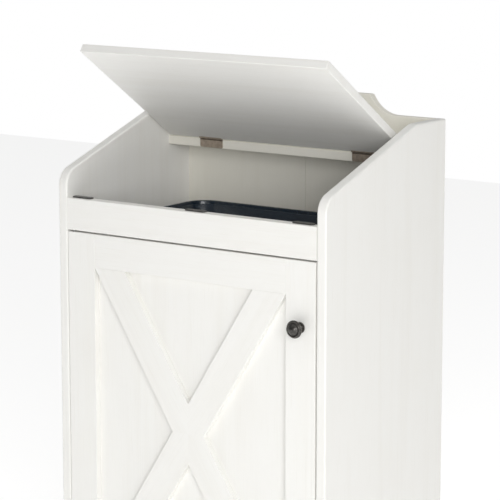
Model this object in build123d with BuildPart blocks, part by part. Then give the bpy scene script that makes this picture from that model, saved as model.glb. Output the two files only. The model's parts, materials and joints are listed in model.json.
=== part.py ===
from build123d import *
import os
from math import acos, asin, atan2, cos, degrees, hypot, radians, sin, tan

# Free-standing cabinet for a waste bin: X-braced door, sloping lift-up lid, bin inside.
# Millimetres. +X is the cabinet's right, +Y its back, +Z up. The origin is the bottom
# centre of the whole part's box, so the knob's projection sets how far back Y starts.

# Carcass
cabinet_width = 450.0
cabinet_depth = 300.0
board = 15.0                 # side panels, rail, kick board and bottom
kick_height = 63.0
rail_height = 45.1
door_height = 524.0
door_gap = 1.6               # shadow gap at the door's sides and foot
door_top_gap = 2.4
glide_height = 3.0
glide_margin = 1.0           # glides in from the panel's faces
glide_inset = 25.0           # glides in from the panel's ends
arris = 1.0                  # small rounding on the edges of the boards
panel_round = 2.6            # softer rounding on the side panels

# Side panel outline
front_corner_rise = 35.0     # where front and slope would meet, above the rail's top
slope_angle = 18.85
panel_top_rise = 111.8       # level rear stretch, above the rail's top
front_corner_radius = 25.0
rear_bend_radius = 35.0

# Rear shelf, backsplash and back boards
shelf_rise = 62.8            # shelf's top above the rail's top
shelf_depth = 51.0
shelf_thickness = 13.0
backsplash_thickness = 12.0
crest_rise = 139.5
shoulder_length = 58.6       # level shoulder beside each cove
cove_radius = 47.2
crest_round = 5.0
back_thickness = 5.0
back_inset = 9.0             # back boards in from the rear edges
groove_depth = 6.0
groove_clearance = 0.2
back_seam = 0.6

# Lid
lid_thickness = 12.0
lid_side_gap = 4.5
lid_overhang = 6.0           # past the cabinet's front when shut
lid_rest_angle = 33.8        # lid above the horizontal as it is drawn
pad_length = 33.0
pad_depth = 9.5
pad_margin = 0.5             # pad in from the rail's back
pad_left_gap = 5.0           # outer pads off the side panels; stuck on by hand, not quite even
pad_right_gap = 10.0
pad_centre_shift = 8.0
pad_thickness = 2.0

# Butt hinges of the lid
hinge_length = 40.0
hinge_inset = 78.0           # hinge's middle in from the side panel
leaf_thickness = 1.0
leaf_height = 12.4
lid_leaf_height = 11.0
barrel_radius = 2.2
barrel_lift = 2.5            # pin above the shelf's top
hinge_pin_radius = 1.0
pin_clearance = 0.05
knuckles = 5
knuckle_gap = 0.3
tab_overlap = 0.5            # knuckle's tab into its leaf
lid_under_pin = 1.0          # lid's underside below the pin
notch_clearance = 0.7
notch_end_clearance = 0.5
hinge_screw_spacing = 13.5

# Door
door_back_thickness = 6.0
frame_thickness = 9.0
frame_width = 47.0
brace_width = 45.0
pivot_inset = 8.0            # pivot in from the door's edge
pivot_setback = 4.0          # pivot behind the door's face
pivot_radius = 1.5
pivot_seat = 12.0            # pin in rail or kick board
bushing_radius = 3.0
bushing_length = 12.0
pin_tip_clearance = 1.5
pin_tip_chamfer = 0.5
thrust_radius = 3.4
thrust_thickness = 1.3

# Knob
knob_drop = 89.0             # below the door's top
knob_projection = 22.0
knob_head_radius = 12.2
knob_neck_radius = 4.2
rosette_radius = 7.5
rosette_thickness = 2.4
knob_screw_radius = 2.0
knob_screw_grip = 10.0
knob_screw_head = 2.4
knob_foot_flare = 1.6
knob_foot_rise = 2.4
knob_neck_length = 3.0
knob_neck_bulge = 1.8
knob_head_depth = 9.0        # head's back behind its crown
knob_dome_rise = 5.8
knob_dome_inset = 3.9        # dome's rim in from the head's edge
knob_bead = 1.0              # rounded ring round the head

# Magnetic catch
catch_length = 40.0
catch_width = 13.0
catch_depth = 15.0
catch_drop = 30.0            # below the door's top
catch_screw_bite = 9.0
catch_screw_inset = 4.0
magnet_depth = 8.0
magnet_skin = 3.0            # housing left and right of the magnet
magnet_length = 24.0
strike_thickness = 1.2
strike_size = 30.0
strike_inset = 2.0
strike_screw_length = 11.0

# Fasteners
dowel_radius = 4.0
dowel_in_panel = 10.0
dowel_in_board = 15.0
dowel_edge = 6.0             # dowel past the door pivot's seat
dowel_inset = 12.0           # shelf's dowel from its front, backsplash's from the shelf
bottom_dowel_inset = 100.0
cam_bolt_radius = 2.5
cam_bolt_in_panel = 11.0
cam_radius = 7.5
cam_depth = 11.0
cam_setback = 24.0           # cam's centre in from the board's end
cam_edge = 12.0              # cam's centre in from the edge of rail or kick board
shelf_cam_inset = 15.0
bottom_cam_inset = 60.0
cam_slot_width = 1.4
cam_slot_depth = 2.0
screw_radius = 1.5
screw_head_radius = 2.6
screw_length = 12.0
bore_clearance = 0.1
recess_width = 0.7
recess_depth = 0.6

# Bin
rim_drop = 25.7              # rim below the front rail's top
bin_rim_width = 300.0
bin_clearance = 6.0          # rim off the front rail and off the shelf
bin_taper_side = 24.0
bin_taper_front = 22.0
bin_wall = 2.4
bin_floor = 3.0
bin_corner = 34.0
bin_foot_corner = 26.0
bin_foot_round = 4.0
rim_lip = 5.0                # rim stands out from the body
rim_depth = 12.0

# Places worked out from the sizes above
half_width = cabinet_width / 2
inner_half = half_width - board
front_y = (knob_projection - cabinet_depth) / 2
rear_y = front_y + cabinet_depth
rail_back_y = front_y + board
panel_bottom = glide_height
kick_top = panel_bottom + kick_height
door_bottom = kick_top + door_gap
door_top = door_bottom + door_height
rail_bottom = door_top + door_top_gap
rail_top = rail_bottom + rail_height
front_corner_z = rail_top + front_corner_rise
panel_top = rail_top + panel_top_rise
bend_y = front_y + (panel_top_rise - front_corner_rise) / tan(radians(slope_angle))
shelf_top = rail_top + shelf_rise
shelf_bottom = shelf_top - shelf_thickness
splash_y = rear_y - backsplash_thickness
shelf_y = splash_y - shelf_depth
back_y = rear_y - back_inset - back_thickness
pin_y = shelf_y - barrel_radius
pin_z = shelf_top + barrel_lift
door_half = inner_half - door_gap
door_mid_z = (door_bottom + door_top) / 2
recess_half_width = door_half - frame_width
recess_half_height = door_height / 2 - frame_width
frame_back_y = front_y + frame_thickness
door_back_y = frame_back_y + door_back_thickness
pivot_x = -door_half + pivot_inset
pivot_y = front_y + pivot_setback
knob_x = door_half - frame_width / 2
knob_z = door_top - knob_drop

# The lid shuts on the front edge of the pads
pad_front_y = rail_back_y - pad_margin - pad_depth
pad_reach = pin_y - pad_front_y
pad_fall = pin_z - rail_top - pad_thickness
lid_shut_angle = degrees(
    atan2(pad_fall, pad_reach) - asin(lid_under_pin / hypot(pad_reach, pad_fall))
)
lid_length = (pin_y - front_y + lid_overhang) / cos(radians(lid_shut_angle))
lid_half = inner_half - lid_side_gap

# Orientations, each with local +Z out of the surface
face_front = (90, 0, 0)
face_back = (-90, 0, 0)
face_right = (0, 90, 0)
face_left = (0, -90, 0)
face_down = (180, 0, 0)
face_up = (0, 0, 0)

os.makedirs("parts", exist_ok=True)


def save(builder, label):
    builder.part.label = label
    export_step(builder.part, "parts/" + label + ".step")


def span(low, high):
    # length and middle of a stretch
    return high - low, (high + low) / 2


def block(x_range, y_range, z_range, mode=Mode.ADD):
    (dx, mx), (dy, my), (dz, mz) = span(*x_range), span(*y_range), span(*z_range)
    with Locations((mx, my, mz)):
        Box(dx, dy, dz, mode=mode)


def drill(places, radius, depth):
    with Locations(*places):
        Hole(radius + bore_clearance, depth + bore_clearance)


def sunk_drill(places, depth):
    with Locations(*places):
        CounterSinkHole(
            screw_radius + bore_clearance,
            screw_head_radius + bore_clearance,
            depth,
            counter_sink_angle=90,
        )


def sunk_screws(places, label, length=screw_length):
    # cross-recessed screws with a flush conical head
    head = screw_head_radius - screw_radius
    low = (Align.CENTER, Align.CENTER, Align.MAX)
    with BuildPart() as screws:
        with Locations(*places):
            Cone(screw_radius, screw_head_radius, head, align=low)
            Cylinder(screw_radius, length, align=low)
            for turn in (0, 90):
                slot = (screw_head_radius * 1.3, recess_width, recess_depth)
                Box(*slot, rotation=(0, 0, turn), align=low, mode=Mode.SUBTRACT)
    save(screws, label)


# ---- Where the carcass is dowelled and cammed: (y, z, cam orientation, cam face) ----
bottom_mid_z = kick_top - board / 2
shelf_mid_z = shelf_top - shelf_thickness / 2
board_mid_y = front_y + board / 2
cam_rows = [
    (board_mid_y, rail_top - cam_edge, face_back, rail_back_y),
    (board_mid_y, panel_bottom + cam_edge, face_back, rail_back_y),
    (front_y + bottom_cam_inset, bottom_mid_z, face_down, kick_top - board),
    (rear_y - bottom_cam_inset, bottom_mid_z, face_down, kick_top - board),
    (splash_y - shelf_cam_inset, shelf_mid_z, face_down, shelf_bottom),
]
dowel_rows = [
    (board_mid_y, rail_bottom + pivot_seat + dowel_edge),
    (board_mid_y, kick_top - pivot_seat - dowel_edge),
    (front_y + bottom_dowel_inset, bottom_mid_z),
    (rear_y - bottom_dowel_inset, bottom_mid_z),
    (shelf_y + dowel_inset, shelf_mid_z),
    (splash_y + backsplash_thickness / 2, shelf_top + dowel_inset),
]


def end_places(rows, side, x):
    # places on a board's end or a panel's inner face, opening towards side
    turn = face_right if side > 0 else face_left
    return [Location((x, row[0], row[1]), turn) for row in rows]


def cam_places(rows):
    places = []
    for y, z, turn, face in rows:
        for side in (-1, 1):
            x = side * (inner_half - cam_setback)
            spot = (x, face, z) if turn == face_back else (x, y, face)
            places.append(Location(spot, turn))
    return places


def drill_ends(cams, dowels):
    # bores in a cross board's two ends, and its cam pockets
    for side in (-1, 1):
        drill(end_places(dowels, side, side * inner_half), dowel_radius, dowel_in_board)
        if cams:
            drill(end_places(cams, side, side * inner_half), cam_bolt_radius, cam_setback)
    if cams:
        drill(cam_places(cams), cam_radius, cam_depth)


# ---- Side panels ----
def side_panel(label, side):
    outer_x = side * half_width
    inner_x = side * inner_half
    with BuildPart() as panel:
        with BuildSketch(Plane.YZ.offset(min(outer_x, inner_x))):
            with BuildLine():
                Polyline(
                    (front_y, panel_bottom),
                    (rear_y, panel_bottom),
                    (rear_y, panel_top),
                    (bend_y, panel_top),
                    (front_y, front_corner_z),
                    close=True,
                )
            make_face()
            fillet(vertices().group_by(Axis.Y)[1], front_corner_radius)
            fillet(vertices().group_by(Axis.Y)[-1].sort_by(Axis.X)[0], rear_bend_radius)
        extrude(amount=board)
        flat = panel.faces().filter_by(Axis.X).edges()
        shown = flat.filter_by(lambda e: e.center().Z > panel_bottom and e.center().Y < rear_y)
        fillet(shown, panel_round)
        inner = (inner_x, inner_x + side * groove_depth)
        groove = (back_y - groove_clearance / 2, back_y + back_thickness + groove_clearance / 2)
        block(sorted(inner), groove, (panel_bottom, shelf_bottom), Mode.SUBTRACT)
        drill(end_places(dowel_rows, -side, inner_x), dowel_radius, dowel_in_panel)
        drill(end_places(cam_rows, -side, inner_x), cam_bolt_radius, cam_bolt_in_panel)
        if side > 0:
            drill(catch_places(inner_x), screw_radius, catch_screw_bite)
    save(panel, label)


catch_x = inner_half - catch_width
catch_z = door_top - catch_drop
catch_front_y = door_back_y + strike_thickness + bore_clearance * 2
catch_mid_y = catch_front_y + catch_depth / 2


def catch_places(x):
    rise = catch_length / 2 - catch_screw_inset
    return [Location((x, catch_mid_y, catch_z + s * rise), face_left) for s in (-1, 1)]


side_panel("left_side_panel", -1)
side_panel("right_side_panel", 1)

# ---- Front rail, with the top pivot's seat ----
with BuildPart() as front_rail:
    block((-inner_half, inner_half), (front_y, rail_back_y), (rail_bottom, rail_top))
    long_edges = front_rail.edges().filter_by(Axis.X)
    fillet(long_edges.group_by(Axis.Y)[0], arris)
    drill_ends(cam_rows[0:1], dowel_rows[0:1])
    seat = [Location((pivot_x, pivot_y, rail_bottom), face_down)]
    with Locations(*seat):
        Hole(pivot_radius, pivot_seat)
save(front_rail, "front_top_rail")

# ---- Kick board, with the bottom pivot's seat ----
with BuildPart() as kick:
    block((-inner_half, inner_half), (front_y, rail_back_y), (panel_bottom, kick_top))
    fillet(kick.edges().filter_by(Axis.X).group_by(Axis.Y)[0], arris)
    drill_ends(cam_rows[1:2], dowel_rows[1:2])
    with Locations(Location((pivot_x, pivot_y, kick_top), face_up)):
        Hole(pivot_radius, pivot_seat)
save(kick, "kick_board")

# ---- Bottom board ----
with BuildPart() as bottom:
    block((-inner_half, inner_half), (rail_back_y, back_y), (kick_top - board, kick_top))
    drill_ends(cam_rows[2:4], dowel_rows[2:4])
save(bottom, "bottom_board")

# ---- Fixed rear shelf that carries the lid ----
hinge_centres = [hinge_inset - inner_half, inner_half - hinge_inset]
leaf_screw_z = shelf_top - leaf_height / 2


def screw_row(x, y, z, turn):
    # a hinge leaf's three screws
    return [Location((x + i * hinge_screw_spacing, y, z), turn) for i in (-1, 0, 1)]


shelf_screw_places = [
    place
    for x in hinge_centres
    for place in screw_row(x, shelf_y - leaf_thickness, leaf_screw_z, face_front)
]
with BuildPart() as shelf:
    block((-inner_half, inner_half), (shelf_y, splash_y), (shelf_bottom, shelf_top))
    fillet(shelf.edges().filter_by(Axis.X).group_by(Axis.Y)[0], arris)
    drill_ends(cam_rows[4:5], dowel_rows[4:5])
    drill(shelf_screw_places, screw_radius, screw_length)
save(shelf, "rear_shelf")

# ---- Backsplash: level crest, coves down to the shoulders ----
cove_turn = acos(1 - (crest_rise - panel_top_rise) / cove_radius)
shoulder_x = inner_half - shoulder_length
crest_z = rail_top + crest_rise
with BuildPart() as splash:
    with BuildSketch(Plane.XZ.offset(-rear_y)):
        with BuildLine():
            Polyline(
                (0, shelf_bottom),
                (inner_half, shelf_bottom),
                (inner_half, panel_top),
                (shoulder_x, panel_top),
            )
            cove = JernArc((shoulder_x, panel_top), (-1, 0), cove_radius, -degrees(cove_turn))
            Line(cove @ 1, (0, crest_z))
            mirror(about=Plane.YZ)
        make_face()
        fillet(vertices().group_by(Axis.Y)[-1], crest_round)
    extrude(amount=backsplash_thickness)
    outline = splash.faces().filter_by(Axis.Y).edges()
    fillet(outline.filter_by(lambda e: e.center().Z > panel_top - arris), arris)
    drill_ends([], dowel_rows[5:6])
save(splash, "backsplash")

# ---- Two back boards, slid into the side grooves ----
back_half = inner_half + groove_depth - groove_clearance
for label, low, high in (
    ("back_board_left", -back_half, -back_seam / 2),
    ("back_board_right", back_seam / 2, back_half),
):
    with BuildPart() as back:
        block((low, high), (back_y, back_y + back_thickness), (panel_bottom, shelf_bottom))
    save(back, label)

# ---- Glides under the side panels ----
glide_mid_x = half_width - board / 2
for label, x, y in (
    ("glide_front_left", -glide_mid_x, front_y + glide_inset),
    ("glide_front_right", glide_mid_x, front_y + glide_inset),
    ("glide_rear_left", -glide_mid_x, rear_y - glide_inset),
    ("glide_rear_right", glide_mid_x, rear_y - glide_inset),
):
    with BuildPart() as glide:
        with Locations((x, y, glide_height / 2)):
            Cylinder(board / 2 - glide_margin, glide_height)
        chamfer(glide.edges().group_by(Axis.Z)[0], arris)
    save(glide, label)

# ---- Bumper pads on the rail ----
for label, x in (
    ("bumper_pad_left", pad_left_gap + pad_length / 2 - inner_half),
    ("bumper_pad_centre", pad_centre_shift),
    ("bumper_pad_right", inner_half - pad_right_gap - pad_length / 2),
):
    with BuildPart() as pad:
        ends = (x - pad_length / 2, x + pad_length / 2)
        across = (pad_front_y, pad_front_y + pad_depth)
        block(ends, across, (rail_top, rail_top + pad_thickness))
        fillet(pad.edges().filter_by(Axis.Z), arris)
    save(pad, label)

# ---- Carcass fasteners ----
with BuildPart() as dowels:
    for side in (-1, 1):
        with Locations(*end_places(dowel_rows, side, side * (inner_half - dowel_in_board))):
            whole = dowel_in_board + dowel_in_panel
            Cylinder(dowel_radius, whole, align=(Align.CENTER, Align.CENTER, Align.MIN))
    chamfer(dowels.edges().filter_by(GeomType.CIRCLE), arris)
save(dowels, "dowels")

with BuildPart() as cam_bolts:
    for side in (-1, 1):
        start = inner_half - cam_setback + cam_radius + bore_clearance * 2
        whole = inner_half + cam_bolt_in_panel - start
        with Locations(*end_places(cam_rows, side, side * start)):
            Cylinder(cam_bolt_radius, whole, align=(Align.CENTER, Align.CENTER, Align.MIN))
save(cam_bolts, "cam_bolts")

with BuildPart() as cams:
    with Locations(*cam_places(cam_rows)):
        Cylinder(cam_radius, cam_depth, align=(Align.CENTER, Align.CENTER, Align.MAX))
        for turn in (0, 90):
            slot = (cam_radius * 1.1, cam_slot_width, cam_slot_depth)
            low = (Align.CENTER, Align.CENTER, Align.MAX)
            Box(*slot, rotation=(0, 0, turn), align=low, mode=Mode.SUBTRACT)
save(cams, "cam_locks")


# ---- Lid hinges ----
plate_start = barrel_radius + knuckle_gap


def knuckle_spans(own):
    # stretches of the barrel that belong to the fixed (0) or the moving (1) leaf
    pitch = hinge_length / knuckles
    spans = []
    for i in range(own, knuckles, 2):
        low = -hinge_length / 2 + i * pitch + knuckle_gap / 2
        spans.append((low, low + pitch - knuckle_gap))
    return spans


def barrel_cut():
    Cylinder(hinge_pin_radius + pin_clearance, hinge_length * 2, rotation=(0, 90, 0),
             mode=Mode.SUBTRACT)


def barrel_knuckles(own, leaf_low_y, leaf_toward):
    # knuckles with their tabs down (-1) or up (+1) to the leaf
    for low, high in knuckle_spans(own):
        length, mid = span(low, high)
        with Locations((mid, 0, 0)):
            Cylinder(barrel_radius, length, rotation=(0, 90, 0))
        tab = sorted((0, leaf_toward * (plate_start + tab_overlap)))
        block((low, high), (leaf_low_y, leaf_low_y + leaf_thickness), tab)


sides = list(zip(("left", "right"), hinge_centres))
for side_name, x in sides:
    hinge_plane = Plane(origin=(x, pin_y, pin_z))
    leaf_y = barrel_radius - leaf_thickness
    leaf_bottom = -(barrel_lift + leaf_height)
    with BuildPart(hinge_plane) as leaf:
        ends = (-hinge_length / 2, hinge_length / 2)
        block(ends, (leaf_y, leaf_y + leaf_thickness), (leaf_bottom, -plate_start))
        barrel_knuckles(0, leaf_y, -1)
        barrel_cut()
        sunk_drill(screw_row(0, leaf_y, leaf_screw_z - pin_z, face_front), leaf_thickness * 2)
    save(leaf, "shelf_hinge_" + side_name)
    with BuildPart(hinge_plane) as pin:
        Cylinder(hinge_pin_radius, hinge_length, rotation=(0, 90, 0))
    save(pin, "lid_hinge_pin_" + side_name)

sunk_screws(shelf_screw_places, "shelf_hinge_screws")


# ---- Lid, drawn in its own plane through the pin, with -Y towards its front ----
def lid_plane(x):
    rise = radians(lid_rest_angle)
    return Plane(origin=(x, pin_y, pin_z), x_dir=(1, 0, 0), z_dir=(0, sin(rise), cos(rise)))


lid_rear = barrel_radius - leaf_thickness
lid_low = -lid_under_pin
lid_high = lid_low + lid_thickness
lid_screw_z = plate_start + (lid_leaf_height - plate_start) / 2
notch_reach = barrel_radius + notch_clearance
with BuildPart(lid_plane(0)) as lid:
    block((-lid_half, lid_half), (-lid_length, lid_rear), (lid_low, lid_high))
    fillet(lid.edges(), arris)
    for x in hinge_centres:
        half_notch = hinge_length / 2 + notch_end_clearance
        ends = (x - half_notch, x + half_notch)
        block(ends, (-notch_reach, lid_rear), (lid_low, notch_reach), Mode.SUBTRACT)
        drill(screw_row(x, lid_rear, lid_screw_z, face_back), screw_radius, screw_length)
save(lid, "lid_board")

for side_name, x in sides:
    with BuildPart(lid_plane(x)) as leaf:
        ends = (-hinge_length / 2, hinge_length / 2)
        block(ends, (lid_rear, lid_rear + leaf_thickness), (plate_start, lid_leaf_height))
        barrel_knuckles(1, lid_rear, 1)
        barrel_cut()
        sunk_drill(screw_row(0, lid_rear + leaf_thickness, lid_screw_z, face_back), leaf_thickness * 2)
    save(leaf, "lid_hinge_" + side_name)

lid_screw_places = [
    lid_plane(x).location * place
    for x in hinge_centres
    for place in screw_row(0, lid_rear + leaf_thickness, lid_screw_z, face_back)
]
sunk_screws(lid_screw_places, "lid_hinge_screws")

# ---- Door: back sheet, stiles, rails and braces ----
knob_place = [Location((knob_x, front_y, knob_z), face_front)]
strike_x = door_half - catch_width / 2 - strike_inset
with BuildPart() as door_back:
    block((-door_half, door_half), (frame_back_y, door_back_y), (door_bottom, door_top))
    drill([Location((knob_x, frame_back_y, knob_z), face_front)], knob_screw_radius,
          door_back_thickness)
    drill([Location((strike_x, door_back_y, catch_z), face_back)], screw_radius,
          door_back_thickness)
save(door_back, "door_back_sheet")

for label, side in (("door_stile_left", -1), ("door_stile_right", 1)):
    with BuildPart() as stile:
        ends = sorted((side * recess_half_width, side * door_half))
        block(ends, (front_y, frame_back_y), (door_bottom, door_top))
        outer = stile.edges().filter_by(Axis.Z).group_by(Axis.Y)[0].sort_by(Axis.X)
        fillet(outer[0 if side < 0 else -1], arris)
        if side < 0:
            for z, turn in ((door_top, face_up), (door_bottom, face_down)):
                with Locations(Location((pivot_x, pivot_y, z), turn)):
                    Hole(bushing_radius, bushing_length)
        else:
            drill(knob_place, knob_screw_radius, frame_thickness)
            drill([Location((strike_x, frame_back_y, catch_z), face_back)], screw_radius,
                  strike_screw_length - strike_thickness - door_back_thickness)
    save(stile, label)

for label, low in (("door_rail_top", door_top - frame_width), ("door_rail_bottom", door_bottom)):
    with BuildPart() as rail:
        across = (-recess_half_width, recess_half_width)
        block(across, (front_y, frame_back_y), (low, low + frame_width))
    save(rail, label)


# A brace's outer edge runs into the corner of the recess, which sets its lean
corner_reach = hypot(recess_half_width, recess_half_height)
lean = degrees(
    atan2(recess_half_width, recess_half_height) - asin(brace_width / 2 / corner_reach)
)
through_cut = 2 * corner_reach
with BuildPart() as brace_long:
    with BuildSketch(Plane.XZ.offset(-frame_back_y)):
        with Locations((0, door_mid_z)):
            Rectangle(2 * recess_half_width, 2 * recess_half_height)
            Rectangle(brace_width, through_cut, rotation=lean, mode=Mode.INTERSECT)
    extrude(amount=frame_thickness)
save(brace_long, "door_brace_long")

for label, part_side in (("door_brace_upper", 1), ("door_brace_lower", -1)):
    with BuildPart() as brace:
        with BuildSketch(Plane.XZ.offset(-frame_back_y)):
            with Locations((0, door_mid_z)):
                Rectangle(2 * recess_half_width, 2 * recess_half_height)
                Rectangle(brace_width, through_cut, rotation=-lean, mode=Mode.INTERSECT)
                Rectangle(brace_width, through_cut, rotation=lean, mode=Mode.SUBTRACT)
            with Locations((0, door_mid_z - part_side * recess_half_height)):
                Rectangle(2 * half_width, 2 * recess_half_height, mode=Mode.SUBTRACT)
        extrude(amount=frame_thickness)
    save(brace, label)

# ---- Door pivots: steel pins in the carcass, nylon bushings in the door ----
for label, seat_z, turn, gap, thrust in (
    ("door_pivot_pin_top", rail_bottom + pivot_seat, face_down, door_top_gap, 0.0),
    ("door_pivot_pin_bottom", kick_top - pivot_seat, face_up, door_gap, thrust_thickness),
):
    with BuildPart(Plane(Location((pivot_x, pivot_y, seat_z), turn))) as pin:
        up = (Align.CENTER, Align.CENTER, Align.MIN)
        whole = pivot_seat + gap + bushing_length - pin_tip_clearance
        Cylinder(pivot_radius, whole, align=up)
        tip = pin.edges().filter_by(GeomType.CIRCLE).group_by(Axis.Z)[-1 if thrust else 0]
        chamfer(tip, pin_tip_chamfer)
        if thrust:
            with Locations((0, 0, pivot_seat)):
                Cylinder(thrust_radius, thrust, align=up)
    save(pin, label)

for label, z, turn in (
    ("door_bushing_top", door_top, face_up),
    ("door_bushing_bottom", door_bottom, face_down),
):
    with BuildPart(Plane(Location((pivot_x, pivot_y, z), turn))) as bushing:
        Cylinder(bushing_radius, bushing_length, align=(Align.CENTER, Align.CENTER, Align.MAX))
        Hole(pivot_radius + pin_clearance)
    save(bushing, label)

# ---- Knob: rosette, turned head on a neck, and its screw from inside ----
with BuildPart(Plane(Location((knob_x, front_y, knob_z), face_front))) as rosette:
    Cylinder(rosette_radius, rosette_thickness, align=(Align.CENTER, Align.CENTER, Align.MIN))
    fillet(rosette.edges().group_by(Axis.Y)[0], arris)
    Hole(knob_screw_radius + bore_clearance)
save(rosette, "knob_rosette")

head_back = knob_head_depth - knob_projection
neck_low = -rosette_thickness - knob_foot_rise
neck_high = neck_low - knob_neck_length
dome_half = knob_head_radius - knob_dome_inset
dome_radius = (dome_half ** 2 + knob_dome_rise ** 2) / (2 * knob_dome_rise)
with BuildPart() as knob:
    with BuildSketch(Plane((knob_x, front_y, knob_z))):
        with BuildLine():
            Polyline(
                (0, -rosette_thickness),
                (knob_neck_radius + knob_foot_flare, -rosette_thickness),
                (knob_neck_radius, neck_low),
                (knob_neck_radius, neck_high),
            )
            ThreePointArc(
                (knob_neck_radius, neck_high),
                (knob_neck_radius + knob_neck_bulge, (neck_high + 2 * head_back) / 3),
                (knob_head_radius - knob_bead, head_back),
            )
            turn = degrees(asin(dome_half / dome_radius))
            dome = JernArc((0, -knob_projection), (1, 0), dome_radius, turn)
            bead_y = (dome @ 1).Y - knob_bead
            Polyline(
                (knob_head_radius - knob_bead, head_back),
                (knob_head_radius, head_back - knob_bead),
                (knob_head_radius, bead_y + knob_bead),
                (knob_head_radius - knob_bead, bead_y),
                (dome_half + knob_bead / 2, bead_y),
                dome @ 1,
            )
            Line((0, -knob_projection), (0, -rosette_thickness))
        make_face()
    revolve(axis=Axis((knob_x, front_y, knob_z), (0, 1, 0)))
    with Locations(Location((knob_x, front_y - rosette_thickness, knob_z), face_back)):
        Hole(knob_screw_radius, knob_screw_grip)
save(knob, "knob")

knob_screw_place = Plane(Location((knob_x, door_back_y, knob_z), face_back))
with BuildPart(knob_screw_place) as knob_screw:
    reach = frame_thickness + door_back_thickness + rosette_thickness + knob_screw_grip
    Cylinder(knob_screw_radius, reach, align=(Align.CENTER, Align.CENTER, Align.MAX))
    Cylinder(knob_screw_radius * 2, knob_screw_head, align=(Align.CENTER, Align.CENTER, Align.MIN))
    fillet(knob_screw.edges().group_by(Axis.Y)[-1], arris)
    slot = (knob_screw_radius * 2.6, cam_slot_width, knob_screw_head / 2)
    with Locations((0, 0, knob_screw_head)):
        for turn in (0, 90):
            low = (Align.CENTER, Align.CENTER, Align.MAX)
            Box(*slot, rotation=(0, 0, turn), align=low, mode=Mode.SUBTRACT)
save(knob_screw, "knob_screw")

# ---- Magnetic catch on the right panel, strike plate on the door ----
magnet_x = (catch_x + magnet_skin, inner_half - magnet_skin)
magnet_y = (catch_front_y, catch_front_y + magnet_depth)
magnet_z = (catch_z - magnet_length / 2, catch_z + magnet_length / 2)
with BuildPart() as catch:
    catch_y = (catch_front_y, catch_front_y + catch_depth)
    block((catch_x, inner_half), catch_y, (catch_z - catch_length / 2, catch_z + catch_length / 2))
    fillet(catch.edges().filter_by(Axis.Z), arris)
    block(magnet_x, magnet_y, magnet_z, Mode.SUBTRACT)
    sunk_drill(catch_places(catch_x), catch_width)
save(catch, "catch_housing")

with BuildPart() as magnet:
    block(magnet_x, magnet_y, magnet_z)
save(magnet, "catch_magnet")
sunk_screws(catch_places(catch_x), "catch_screws", catch_width + catch_screw_bite)

strike_place = Location((strike_x, door_back_y + strike_thickness, catch_z), face_back)
with BuildPart() as strike:
    half = strike_size / 2
    block((strike_x - catch_width / 2, strike_x + catch_width / 2),
          (door_back_y, door_back_y + strike_thickness), (catch_z - half, catch_z + half))
    fillet(strike.edges().filter_by(Axis.Y), arris * 2)
    sunk_drill([strike_place], strike_thickness * 2)
save(strike, "strike_plate")
sunk_screws([strike_place], "strike_screw", strike_screw_length)


# ---- Bin: tapered body, rolled rim, open top ----
def rounded_plan(width, depth, radius):
    Rectangle(width, depth)
    fillet(vertices(), radius)


bin_rim_depth = shelf_y - rail_back_y - 2 * bin_clearance
bin_y = (rail_back_y + shelf_y) / 2
rim_top = rail_top - rim_drop
body_width = bin_rim_width - 2 * rim_lip
body_depth = bin_rim_depth - 2 * rim_lip
body_corner = bin_corner - rim_lip
foot_width = bin_rim_width - 2 * bin_taper_side
foot_depth = bin_rim_depth - 2 * bin_taper_front
top_plane = Plane(origin=(0, bin_y, rim_top))
with BuildPart() as bin_body:
    for wall, floor, mode in ((0, 0, Mode.ADD), (bin_wall, bin_floor, Mode.SUBTRACT)):
        with BuildSketch(Plane(origin=(0, bin_y, kick_top + floor))):
            rounded_plan(foot_width - 2 * wall, foot_depth - 2 * wall, bin_foot_corner - wall)
        with BuildSketch(top_plane):
            rounded_plan(body_width - 2 * wall, body_depth - 2 * wall, body_corner - wall)
        loft(mode=mode)
        if mode == Mode.ADD:
            fillet(bin_body.edges().group_by(Axis.Z)[0], bin_foot_round)
    # flat of the rim out to the lip, then the lip turned down
    for inset, corner, height in (
        (rim_lip + bin_wall / 2, body_corner - bin_wall / 2, bin_wall),
        (bin_wall, bin_corner - bin_wall, rim_depth),
    ):
        with BuildSketch(top_plane):
            rounded_plan(bin_rim_width, bin_rim_depth, bin_corner)
            with BuildSketch(mode=Mode.SUBTRACT):
                rounded_plan(bin_rim_width - 2 * inset, bin_rim_depth - 2 * inset, corner)
        extrude(amount=-height)
save(bin_body, "bin")
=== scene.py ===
import json
from math import asin, atan2, cos, degrees, hypot, pi, radians, sin

import bmesh
import bpy
from mathutils import Matrix, Vector


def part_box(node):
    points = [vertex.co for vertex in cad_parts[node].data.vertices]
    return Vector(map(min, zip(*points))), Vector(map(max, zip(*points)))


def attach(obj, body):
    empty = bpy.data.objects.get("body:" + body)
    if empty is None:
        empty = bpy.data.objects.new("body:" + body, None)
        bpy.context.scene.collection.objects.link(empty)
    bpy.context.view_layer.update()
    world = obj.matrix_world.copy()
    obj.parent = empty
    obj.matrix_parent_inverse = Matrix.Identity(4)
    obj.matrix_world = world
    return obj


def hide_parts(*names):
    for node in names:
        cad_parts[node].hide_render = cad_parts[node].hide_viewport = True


# Kitchen bin cabinet: white-washed boards, an X-braced door, a sloping lid on two small
# butt hinges, a loose dark bin. Lengths in the dictionaries are millimetres.

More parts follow.
